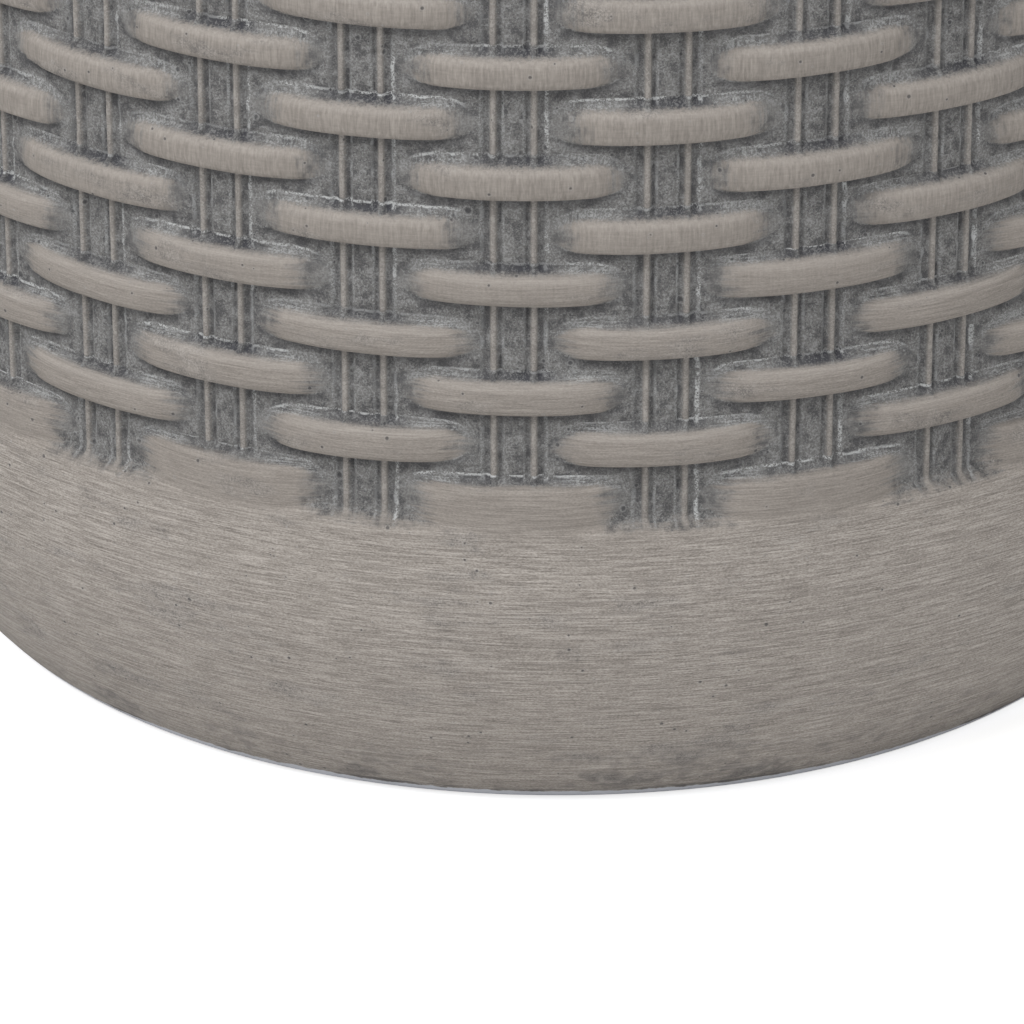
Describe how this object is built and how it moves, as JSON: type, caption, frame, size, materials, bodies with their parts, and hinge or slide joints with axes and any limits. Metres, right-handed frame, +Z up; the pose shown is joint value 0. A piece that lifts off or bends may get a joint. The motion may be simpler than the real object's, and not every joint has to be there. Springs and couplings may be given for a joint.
{
  "type": "outdoor side table",
  "caption": "Hollow cast drum side table with a moulded basket weave between plain bands, a flat bonded top slab and rubber pads under the foot ring.",
  "frame": {"origin": "centre of the footprint, on the floor under the pads", "axes": "+Z up along the drum's axis; a stake of the weave faces -Y"},
  "size_m": [0.4159, 0.416, 0.45],
  "materials": {
    "cast_drum": "blue-grey cast surface with a warm taupe brushed over the raised parts, matt",
    "cast_top": "cast and brushed taupe, matt",
    "fibre_lining": "glass-fibre cloth set in grey slurry, rough",
    "adhesive": "cured grey construction adhesive, satin",
    "pad_rubber": "black rubber, matt"
  },
  "bodies": {
    "root": {"woven_drum": "cast_drum", "fibre_lining": "fibre_lining", "adhesive_bed": "adhesive", "table_top": "cast_top", "foot_pad_1": "pad_rubber", "foot_pad_2": "pad_rubber", "foot_pad_3": "pad_rubber", "foot_pad_4": "pad_rubber"}
  },
  "joints": []
}
